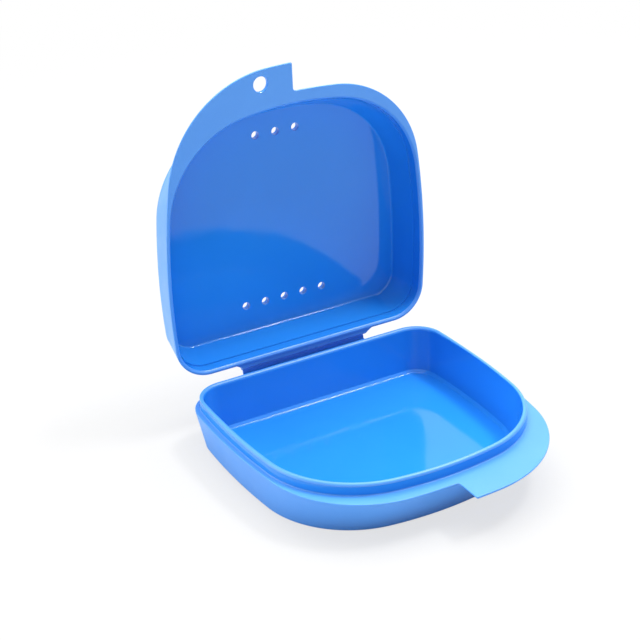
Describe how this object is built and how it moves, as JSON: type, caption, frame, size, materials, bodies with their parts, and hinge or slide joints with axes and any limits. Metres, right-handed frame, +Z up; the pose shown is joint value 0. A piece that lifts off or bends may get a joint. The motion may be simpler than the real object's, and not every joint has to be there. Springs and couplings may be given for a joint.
{
  "type": "orthodontic retainer case",
  "caption": "Shallow D-shaped retainer case: a tray with a raised lip and a vented lid joined by a living hinge, with half-width pull tabs and a hang hole.",
  "frame": {"origin": "centre of the tray's flat underside", "axes": "+X across the case to the right, -Y to the front with the pull tabs, +Y to the hinge, +Z up"},
  "size_m": [0.08, 0.0985, 0.0992],
  "materials": {
    "blue_polypropylene": "glossy moulded",
    "hinge_polypropylene": "glossy moulded, lighter where it bends"
  },
  "bodies": {
    "tray": {"base_tray": "blue_polypropylene", "hinge_web": "hinge_polypropylene"},
    "lid": {"lid_shell": "blue_polypropylene"}
  },
  "joints": [
    {"name": "lid_hinge", "type": "hinge", "parent": "tray", "child": "lid", "pos_m": [0, 0.0405, 0.0135], "axis": [-1, 0, 0], "range_deg": [-90, 90]}
  ]
}
